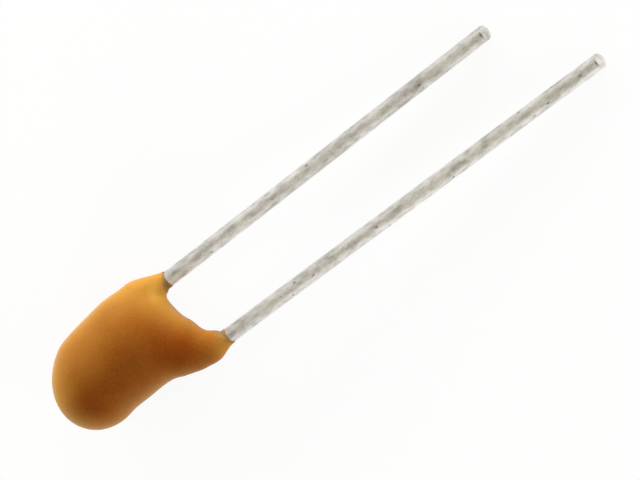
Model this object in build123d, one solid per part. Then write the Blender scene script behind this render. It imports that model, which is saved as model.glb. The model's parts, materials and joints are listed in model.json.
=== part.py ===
from build123d import *
import math
import os

# A small dipped tantalum capacitor lying on its side, with two long wire leads.
# It is drawn along X: the leads point to +X, the bead of resin hangs to -X,
# the leads stand apart along Y and the bead is thinnest along Z. X = 0 is the
# seating plane, where the wires leave the resin. At the end the whole part is
# tipped a few degrees, until its belly and both lead tips touch the floor.

# ---- Driving dimensions, in millimetres and degrees ----

# Wire leads: the anode lead is left longer, so the plus side can be told
LEAD_PITCH = 2.54
LEAD_DIAMETER = 0.50
LEAD_SPLAY = 0.5            # each lead leans this far away from the other
CATHODE_LEAD_LENGTH = 12.9  # seating plane to tip
ANODE_LEAD_LENGTH = 15.2
TIP_SHEAR_ANGLE = 20.0      # slant of the cropped ends
TIP_ROUNDING = 0.04

# The buried end of each wire is pressed into a flat strip
STRIP_THICKNESS = 0.28
STRIP_WIDTH = 0.56
CATHODE_STRIP_START = -0.20
ANODE_STRIP_START = 0.16
ANODE_FOOT_DEPTH = 0.95     # seating plane to the middle of the bent foot
ANODE_BEND_RADIUS = 0.30
ANODE_FOOT_OVERHANG = 0.30  # how far the foot reaches past the riser

# Sintered pellet and the layers grown and dipped over it
PELLET_DIAMETER = 1.60
PELLET_LENGTH = 2.60
PELLET_DEPTH = 1.85         # seating plane to the pellet's top
PELLET_CHAMFER = 0.08       # a pressed pellet has bevelled edges
MANGANESE_THICKNESS = 0.06
GRAPHITE_THICKNESS = 0.05
SILVER_THICKNESS = 0.05
LAYER_STEP = 0.10           # each later layer stops this much lower
RISER_DIAMETER = 0.25
RISER_EMBED = 1.30
WASHER_DIAMETER = 0.90
WASHER_THICKNESS = 0.12

# Solder that holds the cathode strip to the silver
SOLDER_WIDTH = 0.95
SOLDER_COVER = 0.10         # thickness over the strip's outer face
SOLDER_END = 0.70           # how far the strip stops above the pellet's foot
SOLDER_ROUNDING = 0.08

# Resin over the pellet, thicker toward the leads where it gathers
RESIN_AT_FOOT = 0.35
RESIN_AT_MIDDLE = 0.46
RESIN_AT_SHOULDER = 0.65
BEAD_FLATNESS = 0.90        # bead's thickness over its width

# The bead hangs a little askew: where its sections stand, and how far each is
# shifted from the pellet's axis toward the cathode lead
FOOT_RISE = 0.39            # above the pellet's foot
FOOT_SHIFT = -0.20
MIDDLE_RISE = 1.02          # above the pellet's foot
MIDDLE_SHIFT = 0.06
SHOULDER_DROP = 0.24        # below the pellet's top
SHOULDER_SHIFT = 0.18
RESIN_BLEND = 0.25          # size of the soft hollows where the bodies meet

# Resin drawn up each wire, as a collar that thins to almost nothing
COLLAR_WALL = 0.02
COLLAR_SLANT = 25.0          # the outer side climbs higher
CATHODE_COLLAR_TOP = -0.04
CATHODE_ROOT_DEPTH = 1.03    # seating plane to the collar's root, inside the bead
CATHODE_ROOT_SHIFT = 0.19    # outward from the lead
CATHODE_ROOT_WALL = 0.14
ANODE_COLLAR_TOP = 0.43
ANODE_ROOT_DEPTH = 0.64
ANODE_ROOT_SHIFT = -0.15
ANODE_ROOT_WALL = 0.26
WEB_DEPTH = 0.88             # resin heaped over the anode's bent foot
WEB_SHIFT = 0.54             # toward the bead
WEB_RADIUS = 0.76
WEB_END_DEPTH = 0.19          # where it thins out, on the far side of the lead
WEB_END_SHIFT = -0.12
WEB_END_RADIUS = 0.12
TIP_PAST_CATHODE_COLLAR = 0.15
TIP_PAST_ANODE_COLLAR = 0.23

# How finely the resin skin is drawn
SKIN_TURNS = [-45.0 + 3 * i for i in range(30)] + [45.0 + 9 * i for i in range(30)]
SKIN_RISES = (0, 2.5, 5, 7.5, 10.5, 14, 19, 26, 34, 43, 53, 63, 73, 83)
SKIN_TOLERANCE = 1e-5
SEARCH_STEP = 0.1

# ---- Sizes that follow from them ----

wire_radius = LEAD_DIAMETER / 2
cathode_y = LEAD_PITCH / 2
anode_y = -LEAD_PITCH / 2
pellet_top = -PELLET_DEPTH
pellet_foot = pellet_top - PELLET_LENGTH
pellet_radius = PELLET_DIAMETER / 2
manganese_radius = pellet_radius + MANGANESE_THICKNESS
graphite_radius = manganese_radius + GRAPHITE_THICKNESS
silver_radius = graphite_radius + SILVER_THICKNESS
manganese_foot = pellet_foot - MANGANESE_THICKNESS
graphite_foot = manganese_foot - GRAPHITE_THICKNESS
silver_foot = graphite_foot - SILVER_THICKNESS
pellet_y = cathode_y - STRIP_THICKNESS / 2 - silver_radius
foot_underside = -ANODE_FOOT_DEPTH - STRIP_THICKNESS / 2
cathode_strip_end = pellet_foot + SOLDER_END

# The rounded bodies of resin: start, end, radius at each, thickness over width
bead_foot = (pellet_foot + FOOT_RISE, pellet_y + FOOT_SHIFT)
bead_middle = (pellet_foot + MIDDLE_RISE, pellet_y + MIDDLE_SHIFT)
bead_shoulder = (pellet_top - SHOULDER_DROP, pellet_y + SHOULDER_SHIFT)
cathode_root = (-CATHODE_ROOT_DEPTH, cathode_y + CATHODE_ROOT_SHIFT)
cathode_tip = (CATHODE_COLLAR_TOP + TIP_PAST_CATHODE_COLLAR, cathode_y)
anode_root = (-ANODE_ROOT_DEPTH, anode_y - ANODE_ROOT_SHIFT)
anode_tip = (ANODE_COLLAR_TOP + TIP_PAST_ANODE_COLLAR, anode_y)
web_root = (-WEB_DEPTH, anode_y + WEB_SHIFT)
web_end = (-WEB_END_DEPTH, anode_y + WEB_END_SHIFT)
foot_radius = silver_radius + RESIN_AT_FOOT
middle_radius = silver_radius + RESIN_AT_MIDDLE
shoulder_radius = silver_radius + RESIN_AT_SHOULDER
collar_radius = wire_radius + COLLAR_WALL
resin_bodies = (
    (bead_foot, bead_middle, foot_radius, middle_radius, BEAD_FLATNESS),
    (bead_middle, bead_shoulder, middle_radius, shoulder_radius, BEAD_FLATNESS),
    (cathode_root, cathode_tip, wire_radius + CATHODE_ROOT_WALL, collar_radius, 1.0),
    (anode_root, anode_tip, wire_radius + ANODE_ROOT_WALL, collar_radius, 1.0),
    (web_root, web_end, WEB_RADIUS, WEB_END_RADIUS, 1.0),
)
trim_width = 4 * collar_radius
skin_centre = (pellet_top - SHOULDER_DROP, pellet_y + (MIDDLE_SHIFT + SHOULDER_SHIFT) / 2)

GROW_UP = (Align.CENTER, Align.CENTER, Align.MIN)
BEVEL_GROWTH = 2 - math.sqrt(2)  # how much a 45 degree bevel widens per layer thickness


# ---- Leads ----

def lead_seat(y, splay):
    """Where a lead's axis crosses the seating plane, facing along the lead."""
    lean = math.radians(splay)
    return Plane(origin=(0, y, 0), z_dir=(math.cos(lean), math.sin(lean), 0))


def round_wire(y, start, length, splay):
    """The straight round part of a lead, its far end cropped on a slant."""
    seat = lead_seat(y, splay)
    wire = seat * Pos(0, 0, start) * Cylinder(wire_radius, length - start, align=GROW_UP)
    slant = math.radians(TIP_SHEAR_ANGLE)
    middle = seat.from_local_coords((0, 0, length - wire_radius * math.tan(slant)))
    facing = seat.z_dir * math.cos(slant) + Vector(0, 0, math.sin(slant))
    wire = split(wire, bisect_by=Plane(origin=middle, z_dir=facing), keep=Keep.BOTTOM)
    rim = wire.edges().sort_by(Axis.X)[-1]
    return fillet(rim, TIP_ROUNDING)


def cathode_lead():
    """Round wire, then a flat strip that runs down the side of the pellet."""
    wire = round_wire(cathode_y, CATHODE_STRIP_START, CATHODE_LEAD_LENGTH, LEAD_SPLAY)
    length = CATHODE_STRIP_START - cathode_strip_end
    middle = (CATHODE_STRIP_START + cathode_strip_end) / 2
    strip = Pos(middle, cathode_y, 0) * Box(length, STRIP_THICKNESS, STRIP_WIDTH)
    return wire + strip


def anode_lead():
    """Round wire, then a flat strip bent square to stand on the riser wire."""
    wire = round_wire(anode_y, ANODE_STRIP_START, ANODE_LEAD_LENGTH, -LEAD_SPLAY)
    path = FilletPolyline(
        (ANODE_STRIP_START, anode_y),
        (-ANODE_FOOT_DEPTH, anode_y),
        (-ANODE_FOOT_DEPTH, pellet_y + ANODE_FOOT_OVERHANG),
        radius=ANODE_BEND_RADIUS,
    )
    section = Plane(origin=path @ 0, x_dir=(0, 1, 0), z_dir=path % 0)
    strip = sweep(section * Rectangle(STRIP_THICKNESS, STRIP_WIDTH), path)
    return wire + strip


# ---- Pellet and what covers it ----

def rod(radius, start, end):
    """A round bar on the pellet's axis between two places along X."""
    seat = Plane(origin=(start, pellet_y, 0), z_dir=(1, 0, 0))
    return seat * Cylinder(radius, end - start, align=GROW_UP)


def bevelled_rod(radius, start, end):
    """The same bar with the edge of its foot bevelled, wider on an outer layer."""
    growth = (radius - pellet_radius) * BEVEL_GROWTH
    foot_edge = rod(radius, start, end).edges().sort_by(Axis.X)[0]
    return chamfer(foot_edge, PELLET_CHAMFER + growth)


def riser_wire():
    return rod(RISER_DIAMETER / 2, pellet_top - RISER_EMBED, foot_underside)


def washer_disc():
    return rod(WASHER_DIAMETER / 2, pellet_top, pellet_top + WASHER_THICKNESS)


def washer():
    return washer_disc() - riser_wire()


def pellet_body():
    """The pellet without its hole for the riser, both its edges bevelled."""
    bar = rod(pellet_radius, pellet_foot, pellet_top)
    return chamfer(bar.edges().filter_by(GeomType.CIRCLE), PELLET_CHAMFER)


def pellet():
    return pellet_body() - riser_wire()


def manganese_body():
    """The pellet grown by the manganese dioxide, without its hollow."""
    bar = rod(manganese_radius, manganese_foot, pellet_top + MANGANESE_THICKNESS)
    bevel = PELLET_CHAMFER + MANGANESE_THICKNESS * BEVEL_GROWTH
    return chamfer(bar.edges().filter_by(GeomType.CIRCLE), bevel)


def manganese_layer():
    return manganese_body() - pellet_body() - washer_disc()


def graphite_body():
    return bevelled_rod(graphite_radius, graphite_foot, pellet_top - LAYER_STEP)


def graphite_layer():
    return graphite_body() - manganese_body()


def silver_body():
    return bevelled_rod(silver_radius, silver_foot, pellet_top - 2 * LAYER_STEP)


def silver_layer():
    return silver_body() - graphite_body()


def solder_body():
    """A rounded bar of solder over the cathode strip, filled solid."""
    start = cathode_strip_end - SOLDER_COVER
    end = pellet_top - 4 * LAYER_STEP
    outer = cathode_y + STRIP_THICKNESS / 2 + SOLDER_COVER
    middle = ((start + end) / 2, (pellet_y + outer) / 2, 0)
    bar = Pos(*middle) * Box(end - start, outer - pellet_y, SOLDER_WIDTH)
    far_face = bar.faces().sort_by(Axis.Y)[-1]
    return fillet(far_face.edges(), SOLDER_ROUNDING)


def cathode_solder(lead):
    return solder_body() - silver_body() - lead


# ---- Resin ----

def body_distance(x, y, z, body):
    """How far a point is outside one rounded body, negative when inside."""
    (ax, ay), (bx, by), start_radius, end_radius, flatness = body
    along = ((x - ax) * (bx - ax) + (y - ay) * (by - ay)) / math.dist((ax, ay), (bx, by)) ** 2
    along = min(1.0, max(0.0, along))
    near = (ax + along * (bx - ax), ay + along * (by - ay), 0)
    eased = along * along * (3 - 2 * along)
    radius = start_radius + eased * (end_radius - start_radius)
    return math.dist((x, y, z / flatness), near) - radius


def resin_distance(x, y, z):
    """All the rounded bodies melted together, as wet resin pulls itself smooth."""
    total = sum(math.exp(-body_distance(x, y, z, b) / RESIN_BLEND) for b in resin_bodies)
    return -RESIN_BLEND * math.log(total)


def skin_point(turn, rise):
    """Where a ray from inside the bead, at these two angles, leaves the resin."""
    way = (
        math.cos(rise) * math.cos(turn),
        math.cos(rise) * math.sin(turn),
        math.sin(rise),
    )

    def at(reach):
        x = skin_centre[0] + way[0] * reach
        y = skin_centre[1] + way[1] * reach
        return x, y, way[2] * reach

    outside = SEARCH_STEP
    while resin_distance(*at(outside)) < 0:
        outside += SEARCH_STEP
    inside = outside - SEARCH_STEP
    while outside - inside > SKIN_TOLERANCE:
        middle = (inside + outside) / 2
        if resin_distance(*at(middle)) < 0:
            inside = middle
        else:
            outside = middle
    return at(inside)


def skin_ring(rise):
    """A closed curve around the bead at one angle above its middle plane.

    It is drawn in quarters, so that no face of the skin closes on itself, and the
    quarters share a slope where they meet.
    """
    points = [Vector(*skin_point(math.radians(turn), math.radians(rise))) for turn in SKIN_TURNS]
    count = len(points)
    marks = [turn - SKIN_TURNS[0] for turn in SKIN_TURNS] + [360.0]

    def slope(i):
        before, after = points[i - 1], points[(i + 1) % count]
        gap = (marks[i + 1] - marks[i]) + (marks[i] - marks[i - 1] if i else marks[-1] - marks[-2])
        return (after - before) / gap

    corners = [marks.index(quarter) for quarter in (0.0, 90.0, 180.0, 270.0, 360.0)]
    quarters = []
    for start, end in zip(corners, corners[1:]):
        run = [points[i % count] for i in range(start, end + 1)]
        ends = (slope(start), slope(end % count))
        quarters.append(
            Edge.make_spline(run, tangents=ends, parameters=marks[start:end + 1], scale=False)
        )
    return Wire(quarters)


def resin_skin():
    """One smooth skin through rings of points, closed at the belly and the back."""
    rises = [-rise for rise in reversed(SKIN_RISES[1:])] + list(SKIN_RISES)
    belly = Vertex(*skin_point(0, -math.pi / 2))
    back = Vertex(*skin_point(0, math.pi / 2))
    return Solid.make_loft([belly, *map(skin_ring, rises), back], ruled=False)


def collar_trim(top, y, slant):
    """The space above a collar's rim, which is cut away from the resin."""
    lean = math.radians(slant)
    rim = Plane(origin=(top, y, 0), z_dir=(math.cos(lean), -math.sin(lean), 0))
    return rim * Box(trim_width, trim_width, trim_width, align=GROW_UP)


def resin_coat(cathode, anode):
    """The skin with its two rims trimmed and everything it holds taken out."""
    trims = (
        collar_trim(CATHODE_COLLAR_TOP, cathode_y, COLLAR_SLANT),
        collar_trim(ANODE_COLLAR_TOP, anode_y, -COLLAR_SLANT),
    )
    covered = (manganese_body(), graphite_body(), silver_body(), solder_body())
    held = cathode.fuse(anode, riser_wire(), washer_disc(), *covered)
    return resin_skin().cut(*trims).cut(held)


# ---- Resting place ----

def lowest(shape):
    return shape.bounding_box().min.Z


def settle(coat, cathode, anode):
    """Tip the part until the belly and both tips touch the floor, then lift it."""
    pitch, roll = 0.0, 0.0
    tip_gap = LEAD_PITCH
    tip_reach = (CATHODE_LEAD_LENGTH + ANODE_LEAD_LENGTH) / 2 - skin_centre[0]
    for _ in range(8):
        place = Rot(math.degrees(roll), math.degrees(pitch), 0)
        belly, minus, plus = (lowest(place * s) for s in (coat, cathode, anode))
        roll -= (minus - plus) / tip_gap
        pitch += ((minus + plus) / 2 - belly) / tip_reach
    place = Rot(math.degrees(roll), math.degrees(pitch), 0)
    box = Compound(children=[place * s for s in (coat, cathode, anode)]).bounding_box()
    return Pos(-box.center().X, -box.center().Y, -box.min.Z) * place


cathode = cathode_lead()
anode = anode_lead()
coat = resin_coat(cathode, anode)
place = settle(coat, cathode, anode)

parts = {
    "epoxy_coat": coat,
    "cathode_lead": cathode,
    "anode_lead": anode,
    "tantalum_pellet": pellet(),
    "riser_wire": riser_wire(),
    "insulating_washer": washer(),
    "manganese_dioxide_layer": manganese_layer(),
    "graphite_layer": graphite_layer(),
    "silver_layer": silver_layer(),
    "cathode_solder": cathode_solder(cathode),
}

os.makedirs("parts", exist_ok=True)
for name, shape in parts.items():
    resting = place * shape
    export_step(resting, f"parts/{name}.step")
    print(name, round(resting.volume, 4), "cubic mm")

for name, y, splay in (("cathode", cathode_y, LEAD_SPLAY), ("anode", anode_y, -LEAD_SPLAY)):
    seat = Plane(place * lead_seat(y, splay).location)
    print(name, "lead leaves at", tuple(seat.origin), "pointing", tuple(seat.z_dir))
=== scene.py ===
# %% [markdown]
# # A dipped tantalum capacitor
# A small orange-brown bead of epoxy resin with two straight tinned leads. Inside the
# bead is a pressed pellet with its layers. The bead and the leads are drawn afresh
# here with Geometry Nodes, because their surfaces have to be finer than an
# engineering model needs; the sealed pieces keep their own shapes and get finishes.

# %% Load the engineering model
import json
import math

import bpy
from mathutils import Matrix, Vector


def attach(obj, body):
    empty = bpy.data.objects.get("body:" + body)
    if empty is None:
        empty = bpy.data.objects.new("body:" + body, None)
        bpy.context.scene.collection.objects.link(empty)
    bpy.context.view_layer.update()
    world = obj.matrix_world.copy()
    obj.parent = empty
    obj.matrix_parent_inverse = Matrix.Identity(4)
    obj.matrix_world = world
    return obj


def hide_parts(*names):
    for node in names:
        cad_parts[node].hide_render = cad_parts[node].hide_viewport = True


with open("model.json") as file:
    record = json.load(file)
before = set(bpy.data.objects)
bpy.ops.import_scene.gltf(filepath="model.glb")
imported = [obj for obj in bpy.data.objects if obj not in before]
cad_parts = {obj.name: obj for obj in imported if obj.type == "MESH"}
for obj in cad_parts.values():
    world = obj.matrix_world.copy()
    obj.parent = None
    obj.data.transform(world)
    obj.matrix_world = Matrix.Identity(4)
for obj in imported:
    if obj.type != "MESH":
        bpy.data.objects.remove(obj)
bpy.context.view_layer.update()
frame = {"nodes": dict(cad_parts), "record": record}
print("nodes:", ", ".join(sorted(frame["nodes"])))

# %% [markdown]
# ## Where the part lies
# The part rests on its belly and on the tips of its leads, so it is tipped by a few
# degrees. It is easier to draw it straight first, in millimetres, with X along the
# leads, Y from the plus lead to the minus lead and Z through the bead's thickness.
# The model's record says where each lead leaves the bead, and that gives one matrix
# from the drawing to the resting place.

# %% The drawing's own axes
MM = 0.001
mounts = {mount["name"]: mount for mount in frame["record"]["mounts"]}


def drawing_to_rest():
    """A matrix from millimetres in the drawing to metres where the part lies."""
    along = Vector(mounts["lead_pair"]["axis"]).normalized()
    minus = Vector(mounts["cathode_lead"]["pos_m"])
    plus = Vector(mounts["anode_lead"]["pos_m"])
    across = minus - plus
    across = (across - along * across.dot(along)).normalized()
    turn = Matrix((along, across, along.cross(across))).transposed().to_4x4()
    return Matrix.Translation(mounts["lead_pair"]["pos_m"]) @ turn @ Matrix.Scale(MM, 4)


REST = drawing_to_rest()
lead_pitch = mounts["lead_pair"]["dims"]["pcd_mm"]
wire_radius = mounts["cathode_lead"]["dims"]["r_mm"]
cathode_y = lead_pitch / 2
anode_y = -lead_pitch / 2
print("pitch", lead_pitch, "mm, wire radius", wire_radius, "mm")

# %% [markdown]
# ## The camera
# It looks down on the part from above, leaning a little toward the lead tips, through
# a long lens, so that the two leads stay almost parallel in the picture.

# %% Set the camera
VIEW_TILT = math.radians(15.0)    # leaning from straight above toward the tips
VIEW_ROLL = math.radians(37.15)   # the leads run up to the right
VIEW_CENTRE = Vector((4.716, -0.617, 0.0))  # millimetres in the drawing
VIEW_DISTANCE = 0.110             # metres
LENS = 200.0
CLIP_NEAR, CLIP_FAR = 0.001, 10.0


def set_camera():
    """Aims the camera at the middle of the part, tilted and rolled."""
    data = bpy.data.cameras.new("camera")
    data.lens = LENS
    data.clip_start = CLIP_NEAR
    data.clip_end = CLIP_FAR
    camera = bpy.data.objects.new("camera", data)
    bpy.context.scene.collection.objects.link(camera)
    turn = REST.to_3x3().normalized()
    back = turn @ Vector((math.sin(VIEW_TILT), 0.0, math.cos(VIEW_TILT)))
    up = turn @ Vector((0.0, 1.0, 0.0))
    right = up.cross(back).normalized()
    up = back.cross(right)
    level = Matrix((right, up, back)).transposed()
    rolled = level @ Matrix.Rotation(-VIEW_ROLL, 3, "Z")
    place = REST @ VIEW_CENTRE + back * VIEW_DISTANCE
    camera.matrix_world = Matrix.Translation(place) @ rolled.to_4x4()
    bpy.context.scene.camera = camera
    return camera


camera = set_camera()
print("camera at", tuple(round(c, 4) for c in camera.location))

# %% [markdown]
# ## Tools for node trees
# Geometry and shader trees are both built from the same few moves: add a node, fill
# its inputs with values or with other nodes' outputs, and read its result.

# %% Helpers that add and join nodes
GEOMETRY = "GeometryNodeTree"
SHADER = "ShaderNodeTree"


def fill(tree, socket, value):
    """Wires a socket to another node's output, or sets its value."""
    if isinstance(value, bpy.types.NodeSocket):
        tree.links.new(value, socket)
    elif value is not None:
        socket.default_value = value


def put(tree, kind, values=None, **settings):
    """Adds a node with its settings, and fills the inputs named in values."""
    node = tree.nodes.new(kind)
    for name, setting in settings.items():
        setattr(node, name, setting)
    for name, value in (values or {}).items():
        fill(tree, node.inputs[name], value)
    return node


def new_group(name, kind, inputs, outputs):
    """A node group with named sockets. Inputs are (name, type, value or None)."""
    group = bpy.data.node_groups.new(name, kind)
    sockets = group.interface
    for label, data_type, value in inputs:
        socket = sockets.new_socket(label, in_out="INPUT", socket_type="NodeSocket" + data_type)
        if value is not None:
            socket.default_value = value
    for label, data_type in outputs:
        sockets.new_socket(label, in_out="OUTPUT", socket_type="NodeSocket" + data_type)
    return group, put(group, "NodeGroupInput").outputs, put(group, "NodeGroupOutput").inputs


def use_group(tree, group, values):
    """Places a group in another tree and fills its named inputs."""
    kind = "ShaderNodeGroup" if tree.bl_idname == SHADER else "GeometryNodeGroup"
    return put(tree, kind, values, node_tree=group).outputs


print("trees are", GEOMETRY, "and", SHADER)

# %% Helpers that reckon inside a tree
def calc(tree, operation, *values):
    """One step of arithmetic on numbers."""
    node = put(tree, "ShaderNodeMath", operation=operation)
    for socket, value in zip(node.inputs, values):
        fill(tree, socket, value)
    return node.outputs[0]


def vector_calc(tree, operation, *values, scale=None):
    """One step of arithmetic on vectors. A length or a product comes out as a number."""
    node = put(tree, "ShaderNodeVectorMath", operation=operation)
    for socket, value in zip(node.inputs, values):
        fill(tree, socket, value)
    if scale is not None:
        fill(tree, node.inputs["Scale"], scale)
    single = operation in ("DOT_PRODUCT", "LENGTH", "DISTANCE")
    return node.outputs["Value"] if single else node.outputs["Vector"]


def remap(tree, value, start, end, kind="LINEAR"):
    """A share that goes from 0 at the start to 1 at the end, and stays there."""
    return put(tree, "ShaderNodeMapRange", {"Value": value, "From Min": start, "From Max": end},
               interpolation_type=kind).outputs[0]


def soft_step(tree, value, start, end):
    """The same share, eased at both ends."""
    return remap(tree, value, start, end, "SMOOTHSTEP")


def clamped(tree, value):
    """A share kept between 0 and 1."""
    return put(tree, "ShaderNodeClamp", {"Value": value}).outputs[0]


print("a share may be even or eased")

# %% Helpers for geometry trees
def position(tree):
    """The place of each point, in millimetres in the drawing."""
    return put(tree, "GeometryNodeInputPosition").outputs[0]


def store(tree, geometry, name, value, data_type="FLOAT"):
    """Keeps a value on every point under a name."""
    return put(tree, "GeometryNodeStoreNamedAttribute",
               {"Geometry": geometry, "Name": name, "Value": value}, data_type=data_type).outputs[0]


def stored(tree, name, data_type="FLOAT"):
    """Reads a value that an earlier step stored."""
    return put(tree, "GeometryNodeInputNamedAttribute", {"Name": name}, data_type=data_type).outputs[0]


def close_tree(tree, geometry, finish, result):
    """Every tree ends the same way: smooth shading, real geometry, its material."""
    geometry = put(tree, "GeometryNodeSetShadeSmooth", {"Geometry": geometry}).outputs[0]
    geometry = put(tree, "GeometryNodeRealizeInstances", {"Geometry": geometry}).outputs[0]
    values = {"Geometry": geometry, "Material": finish}
    fill(tree, result["Geometry"], put(tree, "GeometryNodeSetMaterial", values).outputs[0])


print("geometry helpers ready")

# %% [markdown]
# ## Turning a tree into a plain mesh
# A tree runs as a modifier. Its inputs are set by each socket's identifier before
# anything is evaluated, then the result is copied to a plain mesh, and the helper
# object and its modifier are thrown away.

# %% Run a tree and keep its mesh
def run_tree(name, group, values, source):
    """Evaluates a geometry tree on a source object and returns a piece at rest."""
    bpy.context.scene.collection.objects.link(source)
    modifier = source.modifiers.new(name, "NODES")
    modifier.node_group = group
    for item in group.interface.items_tree:
        if item.item_type == "SOCKET" and item.in_out == "INPUT" and item.name in values:
            modifier[item.identifier] = values[item.name]
    bpy.context.view_layer.update()
    depsgraph = bpy.context.evaluated_depsgraph_get()
    mesh = bpy.data.meshes.new_from_object(source.evaluated_get(depsgraph))
    source.modifiers.clear()
    bpy.data.objects.remove(source)
    mesh.transform(REST)
    mesh.name = name
    piece = bpy.data.objects.new(name, mesh)
    bpy.context.scene.collection.objects.link(piece)
    print(name, "has", len(mesh.polygons), "faces")
    return piece


def add_piece(name, group, values, source, slot, *nodes):
    """Draws a piece, lets it ride on the body, and puts it in place of CAD nodes."""
    piece = run_tree(name, group, values, source)
    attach(piece, "root")
    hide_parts(*nodes)
    return piece


# %% [markdown]
# ## The shape of the resin
# The bead is dipped: the wet resin runs together over the pellet and creeps up the
# leads, and its skin pulls itself smooth. Modelling that by hand means fighting with
# subdivision at every hollow. A distance field says it directly. Each rounded body has
# a distance, and a soft minimum of those distances melts them together.

# %% Sizes of the dipped resin, in millimetres
BEAD_FLATNESS = 0.90    # the bead's thickness over its width
RESIN_BODIES = (
    # start, end, radius at the start, radius at the end, thickness over width
    ((-4.157, -0.155, 0.0), (-3.276, 0.232, 0.0), 1.134, 1.36, BEAD_FLATNESS),
    ((-3.673, 0.204, 0.0), (-2.067, 0.356, 0.0), 1.439, 1.598, BEAD_FLATNESS),
    ((-1.03, cathode_y + 0.19, 0.0), (0.11, cathode_y, 0.0), 0.39, 0.27, 1.0),
    ((-0.64, anode_y + 0.17, 0.0), (0.66, anode_y - 0.03, 0.0), 0.50, 0.25, 1.0),
    ((-0.88, anode_y + 0.54, 0.0), (-0.19, anode_y - 0.12, 0.0), 0.76, 0.12, 1.0),
)
RESIN_BLEND = 0.25      # how widely the bodies melt into each other
WAVE_DEPTH = 0.012      # slight unevenness of the dipped skin
WAVE_SCALE = 0.9        # waves per millimetre
print(len(RESIN_BODIES), "bodies of resin, melted over", RESIN_BLEND, "mm")

# %% A group for one rounded body
def rounded_body_group():
    """The distance to a capsule whose radius eases from one end to the other."""
    group, given, result = new_group(
        "rounded body", GEOMETRY,
        [("Point", "Vector", None), ("Start", "Vector", None), ("End", "Vector", None),
         ("Start radius", "Float", 1.0), ("End radius", "Float", 1.0), ("Flatness", "Float", 1.0)],
        [("Distance", "Float")],
    )
    thicken = put(group, "ShaderNodeCombineXYZ", {"X": 1.0, "Y": 1.0})
    fill(group, thicken.inputs["Z"], calc(group, "DIVIDE", 1.0, given["Flatness"]))
    point = vector_calc(group, "MULTIPLY", given["Point"], thicken.outputs[0])
    axis = vector_calc(group, "SUBTRACT", given["End"], given["Start"])
    arm = vector_calc(group, "SUBTRACT", point, given["Start"])
    share = calc(group, "DIVIDE", vector_calc(group, "DOT_PRODUCT", arm, axis),
                 vector_calc(group, "DOT_PRODUCT", axis, axis))
    along = clamped(group, share)
    off_axis = vector_calc(group, "SUBTRACT", arm, vector_calc(group, "SCALE", axis, scale=along))
    radius = put(group, "ShaderNodeMapRange", {
        "Value": along, "To Min": given["Start radius"], "To Max": given["End radius"]},
        interpolation_type="SMOOTHSTEP").outputs[0]
    distance = calc(group, "SUBTRACT", vector_calc(group, "LENGTH", off_axis), radius)
    fill(group, result["Distance"], distance)
    return group


rounded_body = rounded_body_group()
print(rounded_body.name, "has", len(rounded_body.nodes), "nodes")

# %% [markdown]
# ## Where the resin ends
# On each wire the resin ends in a rim. It is cut on a slant, because the outer side
# climbs higher, and it is a little ragged. Two measures describe any point near it:
# how far past the rim's plane it is, and how far from the wire's axis.

# %% A group that measures from a lead's rim
RIM_SLANT = math.radians(25.0)
RIM_RAGGED = 0.03       # millimetres from high to low
RAGGED_SCALE = 4.0
RIMS = (
    # the rim's middle, and the way that its plane faces
    ((-0.04, cathode_y, 0.0), (math.cos(RIM_SLANT), -math.sin(RIM_SLANT), 0.0)),
    ((0.43, anode_y, 0.0), (math.cos(RIM_SLANT), math.sin(RIM_SLANT), 0.0)),
)


def rim_gauge_group():
    """Measures past the rim's plane and out from the wire."""
    group, given, result = new_group(
        "rim gauge", GEOMETRY,
        [("Point", "Vector", None), ("Rim", "Vector", None), ("Facing", "Vector", (1.0, 0.0, 0.0)),
         ("Unevenness", "Float", RIM_RAGGED)],
        [("Past rim", "Float"), ("From wire", "Float")],
    )
    arm = vector_calc(group, "SUBTRACT", given["Point"], given["Rim"])
    plane = vector_calc(group, "DOT_PRODUCT", arm, given["Facing"])
    noise = put(group, "ShaderNodeTexNoise", {
        "Vector": given["Point"], "Scale": RAGGED_SCALE, "Detail": 1.0}).outputs[0]
    ragged = calc(group, "MULTIPLY", calc(group, "SUBTRACT", noise, 0.5), given["Unevenness"])
    fill(group, result["Past rim"], calc(group, "ADD", plane, ragged))
    across = vector_calc(group, "MULTIPLY", arm, (0.0, 1.0, 1.0))
    fill(group, result["From wire"], vector_calc(group, "LENGTH", across))
    return group


rim_gauge = rim_gauge_group()
print("two rims, at x =", " and ".join(str(rim[0]) for rim, facing in RIMS), "mm")

# %% [markdown]
# The whole resin is then one formula: the melted bodies, less what lies past each rim,
# plus a thin film that ends in a feather edge on the wire.

# %% The resin's distance field
RIM_REACH = 0.58        # how far from a lead a rim's cut goes
RIM_ROUNDING = 0.05
FILM_THICKNESS = 0.014  # the last thin film of resin on the wire
FILM_START = 0.8        # how far back under the collar the film begins
FILM_REACH = 0.03       # how far it goes past the rim
FILM_BLEND = 0.02


def melted_bodies(group, given):
    """The soft minimum of the distances to all the bodies."""
    softness = calc(group, "MULTIPLY", given["Blend"], -1.0)
    total = 0.0
    for start, end, start_radius, end_radius, flatness in RESIN_BODIES:
        body = use_group(group, rounded_body, {
            "Point": given["Point"], "Start": start, "End": end,
            "Start radius": start_radius, "End radius": end_radius, "Flatness": flatness})
        nearness = calc(group, "DIVIDE", body["Distance"], softness)
        total = calc(group, "ADD", total, calc(group, "EXPONENT", nearness))
    return calc(group, "MULTIPLY", calc(group, "LOGARITHM", total, math.e), softness)


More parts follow.
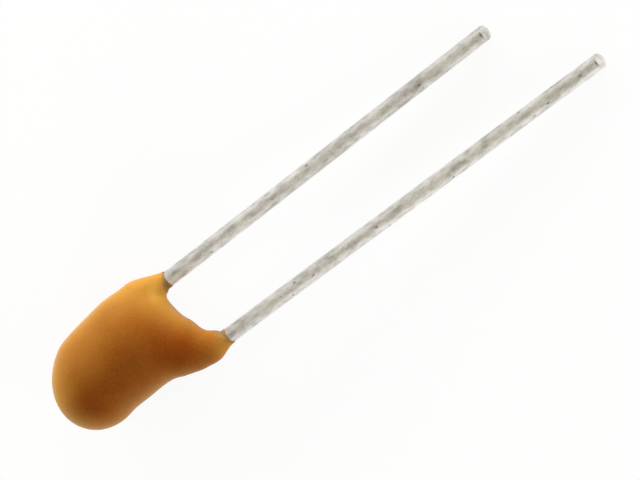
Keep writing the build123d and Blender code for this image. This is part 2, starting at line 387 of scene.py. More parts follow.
def resin_field_group():
    """The distance to the resin's skin."""
    group, given, result = new_group(
        "resin field", GEOMETRY,
        [("Point", "Vector", None), ("Blend", "Float", RESIN_BLEND),
         ("Rim rounding", "Float", RIM_ROUNDING), ("Film thickness", "Float", FILM_THICKNESS),
         ("Wave depth", "Float", WAVE_DEPTH)],
        [("Distance", "Float")],
    )
    skin = melted_bodies(group, given)
    sleeve_radius = calc(group, "ADD", wire_radius, given["Film thickness"])
    for rim, facing in RIMS:
        gauge = use_group(group, rim_gauge, {"Point": given["Point"], "Rim": rim, "Facing": facing})
        inside_reach = calc(group, "SUBTRACT", RIM_REACH, gauge["From wire"])
        cut = calc(group, "MINIMUM", gauge["Past rim"], inside_reach)
        skin = calc(group, "SMOOTH_MAX", skin, cut, given["Rim rounding"])
        film = use_group(group, rounded_body, {
            "Point": given["Point"], "Start": (rim[0] - FILM_START, rim[1], 0.0),
            "End": (rim[0] + FILM_REACH, rim[1], 0.0),
            "Start radius": sleeve_radius, "End radius": sleeve_radius})
        skin = calc(group, "SMOOTH_MIN", skin, film["Distance"], FILM_BLEND)
    wave = put(group, "ShaderNodeTexNoise", {
        "Vector": given["Point"], "Scale": WAVE_SCALE, "Detail": 0.0}).outputs[0]
    sunk = calc(group, "MULTIPLY", wave, given["Wave depth"])
    fill(group, result["Distance"], calc(group, "ADD", skin, sunk))
    return group


resin_field = resin_field_group()
print(resin_field.name, "has", len(resin_field.nodes), "nodes")

# %% [markdown]
# ## From the field to a mesh
# A grid of cells finds the skin, roughly, wherever the field changes sign. Then each
# point slides straight to the exact surface along the field's slope. That gives an
# even mesh with no pole, which could not be had by pulling a sphere into shape.

# %% Sliding points onto the skin
SLOPE_STEP = 0.004      # millimetres between the samples that give the slope
LEAST_STEEPNESS = 0.05  # keeps a point from leaping where the field is flat


def slide_to_skin(tree, geometry):
    """Moves each point onto the resin's exact surface, along the field's slope."""
    here = position(tree)
    distance = use_group(tree, resin_field, {"Point": here})["Distance"]
    slope = put(tree, "ShaderNodeCombineXYZ")
    for i, label in enumerate("XYZ"):
        nudge = [0.0, 0.0, 0.0]
        nudge[i] = SLOPE_STEP
        there = vector_calc(tree, "ADD", here, nudge)
        beside = use_group(tree, resin_field, {"Point": there})["Distance"]
        rise = calc(tree, "DIVIDE", calc(tree, "SUBTRACT", beside, distance), SLOPE_STEP)
        fill(tree, slope.inputs[label], rise)
    steepness = vector_calc(tree, "DOT_PRODUCT", slope.outputs[0], slope.outputs[0])
    steepness = calc(tree, "MAXIMUM", steepness, LEAST_STEEPNESS)
    reach = calc(tree, "MULTIPLY", calc(tree, "DIVIDE", distance, steepness), -1.0)
    move = vector_calc(tree, "SCALE", slope.outputs[0], scale=reach)
    return put(tree, "GeometryNodeSetPosition", {"Geometry": geometry, "Offset": move}).outputs[0]


print("the slope is taken over", SLOPE_STEP, "mm")

# %% [markdown]
# ## Where painted light and shade lie on the resin
# The resin's colour is painted paler toward its rims, as a painted sheen, and toward the
# minus lead's side and the far end of the bead, where light falls, and it is painted a
# deep brown along the middle, in painted shade. A noise pattern would not know where the
# edges are, so the mesh itself carries a share from 0 to 1, worked out from the place in
# the drawing. A second share marks a darker band at the end of each collar, painted shade where the resin
# meets the metal.

# %% The two shares that the bead carries
PAINTED_LIGHT_LEAST = 0.08       # along the middle, before the ramps and spots
# The ramps paint light and sheen: paler down toward the middle plane, where the rims are, toward the
# minus lead's side, where the light falls, and toward the far end of the bead.
PAINTED_LIGHT_RAMPS = (
    # axis, where the share starts to rise, where it ends, how much it adds
    ("height", 1.26, 0.0, 0.52),   # down from the crown to the middle plane
    ("Y", -0.16, 1.42, 0.20),      # toward the minus lead's side
    ("X", -3.8, -5.1, 0.41),       # toward the end away from the leads
)
PAINTED_LIGHT_SPOTS = (
    # middle, reach, how much painted light it adds there, or painted shade where below zero
    ((-0.39, 1.13, 0.0), 0.43, 0.46),
    ((0.29, -1.60, 0.0), 0.71, 0.33),
    ((-0.31, -1.13, 0.0), 1.80, -0.28),
    ((-4.37, -0.43, 0.0), 0.97, -0.20),
)
BAND_START, BAND_END = -0.09, -0.03         # past the rim's plane
BAND_OUTSIDE, BAND_INSIDE = 0.42, 0.30      # from the wire's axis


def painted_light_share(tree, here):
    """How much painted light a place gets, from 0 in painted shade to 1 in painted light and sheen."""
    place = put(tree, "ShaderNodeSeparateXYZ", {"Vector": here}).outputs
    measures = {"X": place["X"], "Y": place["Y"], "height": calc(tree, "ABSOLUTE", place["Z"])}
    share = PAINTED_LIGHT_LEAST
    for axis, start, end, change in PAINTED_LIGHT_RAMPS:
        share = calc(tree, "MULTIPLY_ADD", soft_step(tree, measures[axis], start, end), change, share)
    flat = put(tree, "ShaderNodeCombineXYZ", {"X": place["X"], "Y": place["Y"]}).outputs[0]
    for spot, reach, change in PAINTED_LIGHT_SPOTS:
        away = vector_calc(tree, "DISTANCE", flat, spot)
        share = calc(tree, "MULTIPLY_ADD", soft_step(tree, away, reach, 0.0), change, share)
    return clamped(tree, share)


def collar_shade_share(tree, here):
    """How far a place is in the band of painted shade that ends a collar, from 0 to 1."""
    share = 0.0
    for rim, facing in RIMS:
        gauge = use_group(tree, rim_gauge, {"Point": here, "Rim": rim, "Facing": facing})
        close = soft_step(tree, gauge["From wire"], BAND_OUTSIDE, BAND_INSIDE)
        past = remap(tree, gauge["Past rim"], BAND_START, BAND_END)
        share = calc(tree, "MAXIMUM", share, calc(tree, "MULTIPLY", close, past))
    return share


print(len(PAINTED_LIGHT_RAMPS), "ramps and", len(PAINTED_LIGHT_SPOTS), "spots say where the resin ran thin")

# %% The tree that draws the bead
GRID_STEP = 0.04                # millimetres from cell to cell
GRID_LOW = (-5.6, -2.3, -1.7)   # the block of cells, with room around the bead
GRID_HIGH = (1.1, 2.3, 1.7)
SLIDES = 3                      # each slide brings the points nearer to the skin


def bead_tree():
    """Grid, rough skin, a few slides onto the field, and the shares of painted light and of painted shade
    at the collars.
    """
    tree, given, result = new_group(
        "dipped bead", GEOMETRY,
        [("Geometry", "Geometry", None), ("Grid step", "Float", GRID_STEP),
         ("Slides", "Int", SLIDES), ("Finish", "Material", None)],
        [("Geometry", "Geometry")],
    )
    here = position(tree)
    distance = use_group(tree, resin_field, {"Point": here})["Distance"]
    block = put(tree, "GeometryNodeVolumeCube", {
        "Density": calc(tree, "SUBTRACT", 1.0, distance), "Background": 0.0,
        "Min": GRID_LOW, "Max": GRID_HIGH})
    for axis, low, high in zip("XYZ", GRID_LOW, GRID_HIGH):
        cells = calc(tree, "DIVIDE", high - low, given["Grid step"])
        fill(tree, block.inputs["Resolution " + axis], cells)
    # the density is 1 on the skin itself
    rough = put(tree, "GeometryNodeVolumeToMesh", {"Volume": block.outputs[0], "Threshold": 1.0})
    start = put(tree, "GeometryNodeRepeatInput")
    end = put(tree, "GeometryNodeRepeatOutput")
    start.pair_with_output(end)
    fill(tree, start.inputs["Iterations"], given["Slides"])
    fill(tree, start.inputs["Geometry"], rough.outputs[0])
    fill(tree, end.inputs["Geometry"], slide_to_skin(tree, start.outputs["Geometry"]))
    # The painted light and shade, and the band of painted shade at each collar, ride on the mesh.
    skin = store(tree, end.outputs["Geometry"], "painted_light", painted_light_share(tree, here))
    skin = store(tree, skin, "collar_shade", collar_shade_share(tree, here))
    close_tree(tree, skin, given["Finish"], result)
    return tree


dipped_bead = bead_tree()
print(dipped_bead.name, "has", len(dipped_bead.nodes), "nodes")

# %% [markdown]
# ## The leads
# Each lead is a wire that was pressed flat where it is buried, so it follows a path:
# tip, seat, and a foot inside the resin. One tree makes both. It rounds the path's
# corner, sweeps a circle along it, presses the buried end flat, crops the tip on a
# slant and gives the tinned surface its slight lumps.

# %% Paths of the leads, in millimetres
LEAD_SPLAY = math.radians(0.5)  # each lead leans outward a little
CATHODE_LENGTH = mounts["cathode_lead"]["dims"]["length_mm"]
ANODE_LENGTH = 15.195           # the longer lead marks the plus side
CATHODE_STRIP_START = -0.20     # where the round wire turns into the pressed strip
CATHODE_STRIP_END = -3.75
ANODE_STRIP_START = 0.16
ANODE_FOOT_X = -0.95
ANODE_FOOT_END_Y = 0.47


def tip_of(y, length, splay):
    """Where a splayed lead ends."""
    return (length * math.cos(splay), y + length * math.sin(splay), 0.0)


LEAD_PATHS = {
    "cathode_wire": (tip_of(cathode_y, CATHODE_LENGTH, LEAD_SPLAY),
                     (CATHODE_STRIP_START, cathode_y, 0.0), (CATHODE_STRIP_END, cathode_y, 0.0)),
    "anode_wire": (tip_of(anode_y, ANODE_LENGTH, -LEAD_SPLAY), (ANODE_STRIP_START, anode_y, 0.0),
                   (ANODE_FOOT_X, anode_y, 0.0), (ANODE_FOOT_X, ANODE_FOOT_END_Y, 0.0)),
}
reaches = [round(path[0][0], 2) for path in LEAD_PATHS.values()]
print("leads reach", reaches, "mm past the seating plane")

# %% [markdown]
# Hot tin never lies quite even, so the wire swells and thins a little along its
# length. The cropped edge is slightly rounded. Both are told as a share of the wire's
# radius, because then one number scales the swept circle.

# %% How the wire's radius changes
TIP_ROUNDING = 0.045
TINNING_DEPTH = 0.006
LUMP_STRETCH = (0.55, 1.0, 1.0)  # the lumps run along the wire
LUMP_SCALE = 3.2                 # lumps per millimetre
LUMP_LEVEL = 0.62                # the noise value at which the wire keeps its radius


def share_left(tree, value, reach):
    """A share that falls evenly from 1 at zero to 0 at the reach."""
    return calc(tree, "MAXIMUM", calc(tree, "SUBTRACT", 1.0, calc(tree, "DIVIDE", value, reach)), 0.0)


def tip_shrink(tree, given, from_tip):
    """How much the wire narrows to round the cropped edge."""
    left = share_left(tree, from_tip, given["Tip rounding"])
    return calc(tree, "MULTIPLY", calc(tree, "POWER", left, 2.0),
                calc(tree, "DIVIDE", given["Tip rounding"], given["Radius"]))


def tinning_lump(tree, given, here):
    """How much the tin swells or thins the wire."""
    stretched = vector_calc(tree, "MULTIPLY", here, LUMP_STRETCH)
    noise = put(tree, "ShaderNodeTexNoise", {
        "Vector": stretched, "W": given["Seed"], "Scale": LUMP_SCALE, "Detail": 2.0},
        noise_dimensions="4D").outputs[0]
    swell = calc(tree, "MULTIPLY", calc(tree, "SUBTRACT", noise, LUMP_LEVEL), given["Lump depth"])
    return calc(tree, "DIVIDE", swell, given["Radius"])


print("the tin is uneven by", TINNING_DEPTH, "mm")

# %% How the buried end is pressed
STRIP_THICKNESS = 0.28
STRIP_WIDTH = 0.56
PRESS_EASE = 0.12       # how soon the round wire turns flat


def pressed_shape(tree, given, from_tip, grow):
    """The scale across the wire: even where it is round, flat and wide where pressed."""
    past = calc(tree, "SUBTRACT", from_tip, given["Pressed from"])
    press = soft_step(tree, past, 0.0, PRESS_EASE)
    double = calc(tree, "MULTIPLY", given["Radius"], 2.0)
    sides = []
    for label in ("Pressed thickness", "Pressed width"):
        change = calc(tree, "SUBTRACT", calc(tree, "DIVIDE", given[label], double), 1.0)
        scale = calc(tree, "MULTIPLY_ADD", change, press, 1.0)
        sides.append(calc(tree, "MULTIPLY", scale, grow))
    flat, wide = sides
    return put(tree, "ShaderNodeCombineXYZ", {"X": flat, "Y": flat, "Z": wide}).outputs[0]


print("pressed to", STRIP_THICKNESS, "by", STRIP_WIDTH, "mm")

# %% [markdown]
# The cutter leaves its own traces. The face is slanted, since the blade comes from one
# side, and a short painted shadow marks the nick just behind the edge on the upper side.

# %% What the cutter leaves at the tip
TIP_SLANT = math.radians(20.0)
CROP_REACH = 0.6        # how far back the slant stretches the mesh
NICK_BACK = 0.06        # from the tip to the nick's middle
NICK_LENGTH = 0.055
NICK_WIDTH = 0.13


def crop_shift(tree, given, from_tip, height):
    """Pulls the tip back by its slant: the upper side of the wire is shorter."""
    over_base = calc(tree, "ADD", height, given["Radius"])
    slanted = calc(tree, "MULTIPLY", over_base, calc(tree, "TANGENT", given["Tip slant"]))
    back = calc(tree, "MULTIPLY", slanted, share_left(tree, from_tip, CROP_REACH))
    return put(tree, "ShaderNodeCombineXYZ", {"X": calc(tree, "MULTIPLY", back, -1.0)}).outputs[0]


def painted_nick_shadow(tree, from_tip, across, height):
    """A share that is 1 in the middle of the nick's painted shadow."""
    astray = calc(tree, "ABSOLUTE", calc(tree, "SUBTRACT", from_tip, NICK_BACK))
    nick_shadow = calc(tree, "MULTIPLY", soft_step(tree, astray, NICK_LENGTH, 0.0),
                soft_step(tree, calc(tree, "ABSOLUTE", across), NICK_WIDTH, 0.0))
    return calc(tree, "MULTIPLY", nick_shadow, calc(tree, "GREATER_THAN", height, 0.0))


print("the face leans by", round(math.degrees(TIP_SLANT)), "degrees")

# %% The tree that draws a tinned wire
BEND_RADIUS = 0.30
BEND_STEPS = 8
WIRE_STEP = 0.025
WIRE_SIDES = 40
LONG_ENOUGH = 12.0      # each lead sets its own length of round wire


def swept_wire(tree, given):
    """Sweeps a circle along the path. Each point knows its centre and how far the tip is."""
    path = put(tree, "GeometryNodeFilletCurve", {
        "Curve": given["Path"], "Radius": given["Bend radius"], "Count": BEND_STEPS},
        mode="POLY").outputs[0]
    path = put(tree, "GeometryNodeResampleCurve", {"Curve": path, "Length": given["Step"]},
               mode="LENGTH").outputs[0]
    path = store(tree, path, "from_tip", put(tree, "GeometryNodeSplineParameter").outputs["Length"])
    path = store(tree, path, "centre", position(tree), "FLOAT_VECTOR")
    circle = put(tree, "GeometryNodeCurvePrimitiveCircle", {
        "Resolution": given["Sides"], "Radius": given["Radius"]}).outputs["Curve"]
    return put(tree, "GeometryNodeCurveToMesh", {
        "Curve": path, "Profile Curve": circle, "Fill Caps": True}).outputs[0]


def wire_tree():
    """Sweeps, presses, crops and tins one lead."""
    tree, given, result = new_group(
        "tinned wire", GEOMETRY,
        [("Path", "Geometry", None), ("Radius", "Float", wire_radius), ("Step", "Float", WIRE_STEP),
         ("Sides", "Int", WIRE_SIDES), ("Bend radius", "Float", BEND_RADIUS),
         ("Pressed from", "Float", LONG_ENOUGH), ("Pressed thickness", "Float", STRIP_THICKNESS),
         ("Pressed width", "Float", STRIP_WIDTH), ("Tip slant", "Float", TIP_SLANT),
         ("Tip rounding", "Float", TIP_ROUNDING), ("Lump depth", "Float", TINNING_DEPTH),
         ("Seed", "Float", 0.0), ("Finish", "Material", None)],
        [("Geometry", "Geometry")],
    )
    wire = swept_wire(tree, given)
    from_tip = stored(tree, "from_tip")
    here = position(tree)
    arm = vector_calc(tree, "SUBTRACT", here, stored(tree, "centre", "FLOAT_VECTOR"))
    grow = calc(tree, "SUBTRACT", calc(tree, "ADD", 1.0, tinning_lump(tree, given, here)),
                tip_shrink(tree, given, from_tip))
    new_arm = vector_calc(tree, "MULTIPLY", arm, pressed_shape(tree, given, from_tip, grow))
    place = put(tree, "ShaderNodeSeparateXYZ", {"Vector": new_arm}).outputs
    crop = crop_shift(tree, given, from_tip, place["Z"])
    move = vector_calc(tree, "ADD", vector_calc(tree, "SUBTRACT", new_arm, arm), crop)
    # The nick's place is kept on the mesh for its painted shadow.
    wire = store(tree, wire, "nick_shadow", painted_nick_shadow(tree, from_tip, place["Y"], place["Z"]))
    wire = put(tree, "GeometryNodeSetPosition", {"Geometry": wire, "Offset": move}).outputs[0]
    wire = put(tree, "GeometryNodeRemoveAttribute", {"Geometry": wire, "Name": "centre"}).outputs[0]
    close_tree(tree, wire, given["Finish"], result)
    return tree


tinned_wire = wire_tree()
print(tinned_wire.name, "has", len(tinned_wire.nodes), "nodes")

# %% [markdown]
# ## Finishes
# Every finish works in millimetres on the piece itself, so that it stays on the
# surface from all sides. A few effects are shared by several finishes, so each is
# one shader group with its own inputs.

# %% Shared group: cloudy patches
CLOUD_DETAIL = 2.5


def cloudy_group():
    """Broad soft patches, from 0 to 1."""
    group, given, result = new_group(
        "cloudy", SHADER,
        [("Place", "Vector", None), ("Size", "Float", 1.0),
         ("Low", "Float", 0.35), ("High", "Float", 0.65)],
        [("Tone", "Float")],
    )
    noise = put(group, "ShaderNodeTexNoise", {
        "Vector": given["Place"], "Scale": calc(group, "DIVIDE", 1.0, given["Size"]),
        "Detail": CLOUD_DETAIL}).outputs[0]
    fill(group, result["Tone"], remap(group, noise, given["Low"], given["High"]))
    return group


cloudy = cloudy_group()
print(cloudy.name, "has", len(cloudy.nodes), "nodes")

# %% Shared group: fine grain
GRAIN_DETAIL = 4.0
GRAIN_ROUGHNESS = 0.65
GRAIN_LOW, GRAIN_HIGH = 0.3, 0.7


def grain_group():
    """Fine even grain, as of a sintered or dried powder."""
    group, given, result = new_group(
        "grain", SHADER, [("Place", "Vector", None), ("Size", "Float", 0.05)], [("Tone", "Float")])
    noise = put(group, "ShaderNodeTexNoise", {
        "Vector": given["Place"], "Scale": calc(group, "DIVIDE", 1.0, given["Size"]),
        "Detail": GRAIN_DETAIL, "Roughness": GRAIN_ROUGHNESS}).outputs[0]
    fill(group, result["Tone"], remap(group, noise, GRAIN_LOW, GRAIN_HIGH))
    return group


grain = grain_group()
print(grain.name, "has", len(grain.nodes), "nodes")

# %% Shared group: pits
def pits_group():
    """Scattered small pits: a mask, and a height that dips inside each pit."""
    group, given, result = new_group(
        "pits", SHADER,
        [("Place", "Vector", None), ("Spacing", "Float", 0.3),
         ("Share", "Float", 0.3), ("Width", "Float", 0.25)],
        [("Mask", "Float"), ("Height", "Float")],
    )
    cells = put(group, "ShaderNodeTexVoronoi", {
        "Vector": given["Place"], "Scale": calc(group, "DIVIDE", 1.0, given["Spacing"])}).outputs
    draw = put(group, "ShaderNodeSeparateColor", {"Color": cells["Color"]}).outputs[0]
    chosen = calc(group, "LESS_THAN", draw, given["Share"])
    inside = soft_step(group, cells["Distance"], given["Width"], 0.0)
    mask = calc(group, "MULTIPLY", chosen, inside)
    fill(group, result["Mask"], mask)
    fill(group, result["Height"], calc(group, "SUBTRACT", 1.0, mask))
    return group


pits = pits_group()
print(pits.name, "has", len(pits.nodes), "nodes")

# %% Helpers for finishes
PER_METRE = 1000.0  # object coordinates are in metres, patterns in millimetres


def new_finish(name, **values):
    """A material with one Principled shader, whose plain values are set here."""
    material = bpy.data.materials.new(name)
    material.use_nodes = True
    tree = material.node_tree
    shader = tree.nodes["Principled BSDF"]
    for label, value in values.items():
        shader.inputs[label.replace("_", " ")].default_value = value
    return material, tree, shader


def in_millimetres(tree, stretch=(1.0, 1.0, 1.0)):
    """The place on the piece, in millimetres, stretched along an axis where asked."""
    place = put(tree, "ShaderNodeTexCoord").outputs["Object"]
    scale = [PER_METRE * s for s in stretch]
    return put(tree, "ShaderNodeMapping", {"Vector": place, "Scale": scale}).outputs[0]


def carried(tree, name):
    """A share from 0 to 1 that the mesh itself carries."""
    return put(tree, "ShaderNodeAttribute", attribute_name=name).outputs["Fac"]


def blend(tree, share, first, second):
    """A colour between two, by a share from 0 to 1."""
    # a mix node keeps its two colours at inputs 6 and 7, and the result at output 2
    node = put(tree, "ShaderNodeMix", data_type="RGBA")
    fill(tree, node.inputs[0], share)
    for socket, value in ((node.inputs[6], first), (node.inputs[7], second)):
        fill(tree, socket, value if isinstance(value, bpy.types.NodeSocket) else (*value, 1.0))
    return node.outputs[2]


def between(tree, share, low, high):
    """A number between two, by a share from 0 to 1."""
    return put(tree, "ShaderNodeMapRange", {"Value": share, "To Min": low, "To Max": high}).outputs[0]


def relief(tree, shader, height, depth):
    """Lets a height pattern catch the light. The depth is in millimetres."""
    bump = put(tree, "ShaderNodeBump", {"Height": height, "Distance": depth * MM, "Strength": 1.0})
    fill(tree, shader.inputs["Normal"], bump.outputs[0])


print("one millimetre is", 1 / PER_METRE, "m")

# %% [markdown]
# ### Dipped epoxy
# The resin is a satin orange-brown, painted a deep brown in shade and paler where light
# and sheen fall. The mesh carries that share, a soft cloud makes it wander a little, and
# the filler in the epoxy gives it a fine speckle. A few pinholes are left by bubbles,
# and each collar ends in a band of painted shade.

# %% Resin
RESIN_SHADED = (0.187, 0.040, 0.001)  # painted shade, along the middle
RESIN_LIT = (0.52, 0.262, 0.042)   # painted light and sheen
RESIN_COLLAR_SHADE = (0.25, 0.14, 0.047)    # painted shade at the end of a collar
RESIN_HOLE = (0.10, 0.030, 0.004)
RESIN_IOR = 1.5
RESIN_SPECULAR = 0.09       # satin, with next to no gloss
RESIN_CLOUD = 1.6           # sizes in millimetres
FILLER_GRAIN = 0.08
PEEL_GRAIN = 0.22
PINHOLES = {"Spacing": 0.42, "Share": 0.22, "Width": 0.09}
RESIN_WANDER = 0.08         # how far the clouds and the speckle move the tone
FILLER_SPECKLE = 0.10
PINHOLE_DARK = 0.6
PINHOLE_DEPTH = 2.0         # in heights of the orange peel
RESIN_RELIEF = 0.004
RESIN_ROUGHNESS = (0.34, 0.46)


def resin_finish():
    """Brown to orange, by the painted light and shade that the mesh carries."""
    material, tree, shader = new_finish(
        "dipped_epoxy", IOR=RESIN_IOR, Specular_IOR_Level=RESIN_SPECULAR)
    place = in_millimetres(tree)
    cloud = use_group(tree, cloudy, {"Place": place, "Size": RESIN_CLOUD})["Tone"]
    filler = use_group(tree, grain, {"Place": place, "Size": FILLER_GRAIN})["Tone"]
    peel = use_group(tree, grain, {"Place": place, "Size": PEEL_GRAIN})["Tone"]
    pinholes = use_group(tree, pits, {"Place": place, **PINHOLES})
    # The resin goes from painted shade to painted light by the share that the mesh carries; clouds and
    # filler move it a little.
    painted_light = carried(tree, "painted_light")
    for tone, change in ((cloud, RESIN_WANDER), (filler, FILLER_SPECKLE)):
        painted_light = calc(tree, "MULTIPLY_ADD", calc(tree, "SUBTRACT", tone, 0.5), change, painted_light)
    colour = blend(tree, clamped(tree, painted_light), RESIN_SHADED, RESIN_LIT)
    dark = calc(tree, "MULTIPLY", pinholes["Mask"], PINHOLE_DARK)
    colour = blend(tree, dark, colour, RESIN_HOLE)
    # The band of painted shade where each collar meets the wire.
    colour = blend(tree, carried(tree, "collar_shade"), colour, RESIN_COLLAR_SHADE)
    fill(tree, shader.inputs["Base Color"], colour)
    fill(tree, shader.inputs["Roughness"], between(tree, peel, *RESIN_ROUGHNESS))
    height = calc(tree, "ADD", peel, calc(tree, "MULTIPLY", pinholes["Height"], PINHOLE_DEPTH))
    relief(tree, shader, height, RESIN_RELIEF)
    return material


resin = resin_finish()
print(resin.name, "has", len(resin.node_tree.nodes), "nodes")

# %% [markdown]
# ### Tinned wire
# Hot tin leaves a soft grey skin: small patches drawn out along the wire, broader
# stretches where the tin lies thicker or thinner, and a fine grain. Small dark pits
# show where it did not take, and a painted shadow marks the cutter's nick, as dark as the pits.

# %% Tinned wire
TIN_LIGHT = (0.93, 0.905, 0.855)
TIN_DULL = (0.42, 0.403, 0.366)
# The next colour is for the pits, and also for the nick's painted shadow.
TIN_PIT_AND_NICK_SHADOW = (0.10, 0.095, 0.08)
TIN_STRETCH = (0.7, 1.6, 1.6)   # the patches and pits run along the wire
TIN_PATCH = 0.28                # sizes in millimetres
TIN_LONG_PATCH = 1.1
TIN_GRAIN = 0.07
TIN_CLOUDS = {"Low": 0.32, "High": 0.59}  # more light tin than dull
TIN_PITS = {"Spacing": 0.22, "Share": 0.15, "Width": 0.30}
PATCH_SHARE = 0.50              # of the tone, from dull to light
LONG_PATCH_SHARE = 0.25
GRAIN_SHARE = 0.25
PIT_DEPTH = 2.0                 # in heights of the grain
TIN_RELIEF = 0.006
TIN_ROUGHNESS = (0.26, 0.52)


def tin_finish():
    """Dull to light tin, by three patterns added up."""
    material, tree, shader = new_finish("hot_tinned_wire", Metallic=1.0)
    place = in_millimetres(tree)
    along = in_millimetres(tree, TIN_STRETCH)
    patches = use_group(tree, cloudy, {"Place": along, "Size": TIN_PATCH, **TIN_CLOUDS})["Tone"]
    broad = use_group(tree, cloudy, {"Place": place, "Size": TIN_LONG_PATCH, **TIN_CLOUDS})["Tone"]
    fine = use_group(tree, grain, {"Place": place, "Size": TIN_GRAIN})["Tone"]
    tone = calc(tree, "MULTIPLY", patches, PATCH_SHARE)
    tone = calc(tree, "MULTIPLY_ADD", broad, LONG_PATCH_SHARE, tone)
    tone = calc(tree, "MULTIPLY_ADD", fine, GRAIN_SHARE, tone)
    pitted = use_group(tree, pits, {"Place": along, **TIN_PITS})
    # Pits, and the painted shadow of the cutter's nick, both take the dark colour.
    dark = calc(tree, "MAXIMUM", pitted["Mask"], carried(tree, "nick_shadow"))
    colour = blend(tree, dark, blend(tree, tone, TIN_DULL, TIN_LIGHT), TIN_PIT_AND_NICK_SHADOW)
    fill(tree, shader.inputs["Base Color"], colour)
    fill(tree, shader.inputs["Roughness"], between(tree, fine, *TIN_ROUGHNESS))
    height = calc(tree, "MULTIPLY", pitted["Height"], PIT_DEPTH)
    height = calc(tree, "ADD", height, calc(tree, "ADD", fine, patches))
    relief(tree, shader, height, TIN_RELIEF)
    return material


tin = tin_finish()
print(tin.name, "has", len(tin.node_tree.nodes), "nodes")

# %% [markdown]
# ### The sealed pieces
# Nothing of these shows while the bead is whole, but each still gets its own powder,
# metal or paste finish, from the same shared groups: two tones, a grain and a relief.

# %% Finishes of the sealed pieces
SEALED = {
    # node: (dark tone, light tone, grain in mm, roughness low and high, metallic, relief in mm)
    "tantalum_pellet": ((0.10, 0.105, 0.12), (0.22, 0.23, 0.25), 0.05, 0.55, 0.80, 0.8, 0.006),
    "riser_wire": ((0.26, 0.27, 0.30), (0.42, 0.43, 0.45), 0.04, 0.25, 0.40, 1.0, 0.001),
    "insulating_washer": ((0.78, 0.78, 0.75), (0.88, 0.88, 0.86), 0.10, 0.40, 0.55, 0.0, 0.001),
    "manganese_dioxide_layer": ((0.015, 0.013, 0.012), (0.05, 0.045, 0.04), 0.04, 0.70, 0.95, 0.0, 0.004),
    "graphite_layer": ((0.03, 0.03, 0.035), (0.10, 0.10, 0.105), 0.06, 0.40, 0.65, 0.3, 0.002),
    "silver_layer": ((0.55, 0.54, 0.51), (0.78, 0.77, 0.74), 0.05, 0.35, 0.60, 0.9, 0.003),
    "cathode_solder": ((0.42, 0.42, 0.41), (0.66, 0.66, 0.65), 0.12, 0.22, 0.45, 1.0, 0.003),
}
PATCH_IN_GRAINS = 8     # how many grains wide a cloudy patch is
FINE_SHARE = 0.6        # of the tone, the rest is cloudy


def sealed_finish(name, dark, light, size, smooth, rough, metallic, depth):
    """Two tones, mixed by a grain and by patches of it."""
    material, tree, shader = new_finish(name + "_finish", Metallic=metallic)
    place = in_millimetres(tree)
    patches = use_group(tree, cloudy, {"Place": place, "Size": size * PATCH_IN_GRAINS})["Tone"]
    fine = use_group(tree, grain, {"Place": place, "Size": size})["Tone"]
    share = calc(tree, "MULTIPLY", patches, 1.0 - FINE_SHARE)
    share = calc(tree, "MULTIPLY_ADD", fine, FINE_SHARE, share)
    fill(tree, shader.inputs["Base Color"], blend(tree, share, dark, light))
    fill(tree, shader.inputs["Roughness"], between(tree, fine, smooth, rough))
    relief(tree, shader, fine, depth)
    return material


for node_name, recipe in SEALED.items():
    node = frame["nodes"][node_name]
    node.data.materials.clear()
    node.data.materials.append(sealed_finish(node_name, *recipe))
print(len(SEALED), "sealed pieces have their finishes")

# %% [markdown]
# ## Making the visible pieces
# Now the trees run. Each result replaces the engineering node it stands for. The bead's
# tree needs no source shape, so it starts from an empty mesh.

# %% The bead
blank = bpy.data.objects.new("blank", bpy.data.meshes.new("blank"))
bead = add_piece("resin_bead", dipped_bead,
                 {"Grid step": GRID_STEP, "Slides": SLIDES, "Finish": resin},
                 blank, "resin", "epoxy_coat")
print(bead.name, "stands for epoxy_coat")

# %% [markdown]
# A lead's tree starts from its path, a plain polyline. The edge round the cropped face
# is then marked sharp, so that the smooth shading stops there.

# %% The two leads
CROP_EDGE = math.radians(35.0)
LEAD_SEEDS = {"cathode_wire": 1.0, "anode_wire": 5.0}


def path_curve(points):
    """A plain polyline through a lead's points."""
    curve = bpy.data.curves.new("path", "CURVE")
    curve.dimensions = "3D"
    spline = curve.splines.new("POLY")
    spline.points.add(len(points) - 1)
    for point, place in zip(spline.points, points):
        point.co = (*place, 1.0)
    return bpy.data.objects.new("path", curve)


def add_lead(name, node, pressed_start):
    """Draws one lead. The round part is as long as its path from the tip to the strip."""
    path = LEAD_PATHS[name]
    pressed_from = math.dist(path[0], (pressed_start, path[1][1], 0.0))
    values = {"Pressed from": pressed_from, "Seed": LEAD_SEEDS[name], "Finish": tin}
    lead = add_piece(name, tinned_wire, values, path_curve(path), "tinned_wire", node)
    lead.data.set_sharp_from_angle(angle=CROP_EDGE)
    return lead


for lead in (add_lead("cathode_wire", "cathode_lead", CATHODE_STRIP_START),
             add_lead("anode_wire", "anode_lead", ANODE_STRIP_START)):
    print(lead.name, "is shaded smooth up to", round(math.degrees(CROP_EDGE)), "degrees")

# %% [markdown]
# ## The studio
# The part lies on a plain white floor. Rays from the camera, and those mirrored by the
# metal, see the floor and the world as white, and the part itself is lit at a plain
# level by a low ring of soft lamps and by a large warm grey card behind the camera.
# The card also gives the wires the soft dark streak that round metal has.

# %% Floor and world
FLOOR_SIZE = 1.0            # metres
FLOOR_COLOUR = (0.9, 0.9, 0.9, 1.0)
FLOOR_ROUGHNESS = 0.9
FLOOR_SPECULAR = 0.1
FLOOR_WHITE_SHARE = 0.9     # the rest keeps the part's shadow
WORLD_LEVEL = 0.0           # the lamps and the card do all the lighting
WHITE = (1.0, 1.0, 1.0, 1.0)


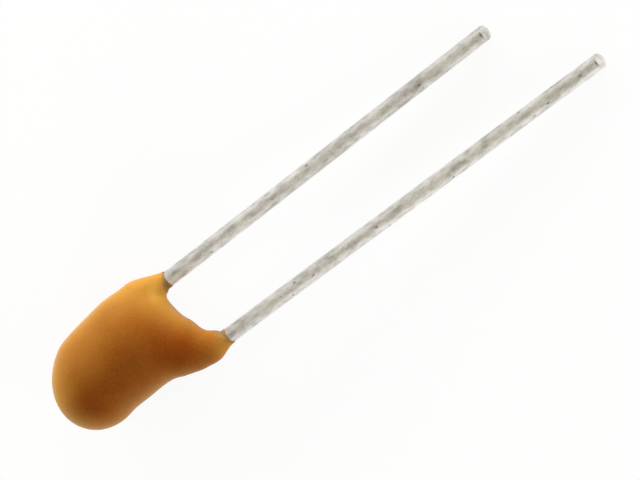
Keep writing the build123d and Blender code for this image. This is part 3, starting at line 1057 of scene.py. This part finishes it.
def camera_white(tree, plain, share):
    """Mixes a shader toward plain white where the camera, or a mirrored ray, looks."""
    rays = put(tree, "ShaderNodeLightPath").outputs
    mirrored = calc(tree, "MAXIMUM", rays["Is Glossy Ray"], rays["Is Transmission Ray"])
    seen = calc(tree, "MAXIMUM", rays["Is Camera Ray"], mirrored)
    white = put(tree, "ShaderNodeEmission", {"Color": WHITE, "Strength": 1.0})
    mix = put(tree, "ShaderNodeMixShader", {"Fac": calc(tree, "MULTIPLY", seen, share)})
    fill(tree, mix.inputs[1], plain)
    fill(tree, mix.inputs[2], white.outputs[0])
    return mix.outputs[0]


def add_square(name, size):
    """A flat square round the origin, facing up. The size is in metres."""
    mesh = bpy.data.meshes.new(name)
    half = size / 2
    corners = [(-half, -half, 0), (half, -half, 0), (half, half, 0), (-half, half, 0)]
    mesh.from_pydata(corners, [], [(0, 1, 2, 3)])
    square = bpy.data.objects.new(name, mesh)
    bpy.context.scene.collection.objects.link(square)
    return square


def add_floor():
    """The white floor, which keeps a faint shadow."""
    floor = add_square("floor", FLOOR_SIZE)
    material, tree, shader = new_finish("floor_white", Roughness=FLOOR_ROUGHNESS,
                                        Base_Color=FLOOR_COLOUR, Specular_IOR_Level=FLOOR_SPECULAR)
    surface = tree.nodes["Material Output"].inputs["Surface"]
    fill(tree, surface, camera_white(tree, shader.outputs[0], FLOOR_WHITE_SHARE))
    floor.data.materials.append(material)


def set_world():
    """A world that looks white and gives no light of its own."""
    world = bpy.data.worlds.new("studio")
    bpy.context.scene.world = world
    world.use_nodes = True
    tree = world.node_tree
    tree.nodes.clear()
    dim = put(tree, "ShaderNodeBackground", {"Color": WHITE, "Strength": WORLD_LEVEL})
    output = put(tree, "ShaderNodeOutputWorld")
    fill(tree, output.inputs["Surface"], camera_white(tree, dim.outputs[0], 1.0))


add_floor()
set_world()
print("floor is", FLOOR_SIZE, "m wide")

# %% Lamps and card
LAMP_SIZE = 60.0            # millimetres
LAMP_DISTANCE = 150.0
LAMP_RISE = math.radians(15.0)
LAMPS = (
    # azimuth around the part in degrees, power in watts
    (0, 0.04), (45, 0.175), (90, 0.20), (135, 0.08), (225, 0.10), (315, 0.10),
)
CARD_SIZE = 400.0           # millimetres
CARD_DISTANCE = 130.0
CARD_COLOUR = (0.555, 0.535, 0.46, 1.0)


def add_lamp(azimuth, power):
    """A square soft lamp low beside the part, at an azimuth around it, facing it."""
    name = "lamp_%d" % azimuth
    data = bpy.data.lights.new(name, "AREA")
    data.shape = "SQUARE"
    data.size = LAMP_SIZE * MM
    data.energy = power
    lamp = bpy.data.objects.new(name, data)
    bpy.context.scene.collection.objects.link(lamp)
    turn = math.radians(azimuth)
    level = LAMP_DISTANCE * math.cos(LAMP_RISE)
    height = LAMP_DISTANCE * math.sin(LAMP_RISE)
    lamp.location = REST @ Vector((level * math.cos(turn), level * math.sin(turn), height))
    aim = REST @ Vector((0.0, 0.0, 0.0)) - lamp.location
    lamp.rotation_euler = aim.to_track_quat("-Z", "Y").to_euler()
    lamp.visible_glossy = False


def add_card():
    """The warm grey card, which the camera looks through and which casts no shadow."""
    card = add_square("card", CARD_SIZE * MM)
    turn = camera.matrix_world.to_3x3()
    back = turn @ Vector((0.0, 0.0, 1.0))
    place = REST @ VIEW_CENTRE + back * CARD_DISTANCE * MM
    card.matrix_world = Matrix.Translation(place) @ turn.to_4x4()
    material = bpy.data.materials.new("card_grey")
    material.use_nodes = True
    tree = material.node_tree
    tree.nodes.clear()
    glow = put(tree, "ShaderNodeEmission", {"Color": CARD_COLOUR, "Strength": 1.0})
    fill(tree, put(tree, "ShaderNodeOutputMaterial").inputs["Surface"], glow.outputs[0])
    card.data.materials.append(material)
    card.visible_camera = False
    card.visible_shadow = False


add_card()
for azimuth, power in LAMPS:
    add_lamp(azimuth, power)
print(len(LAMPS), "lamps and a card are up")

# %% Finish
bpy.context.scene.view_settings.view_transform = "Standard"
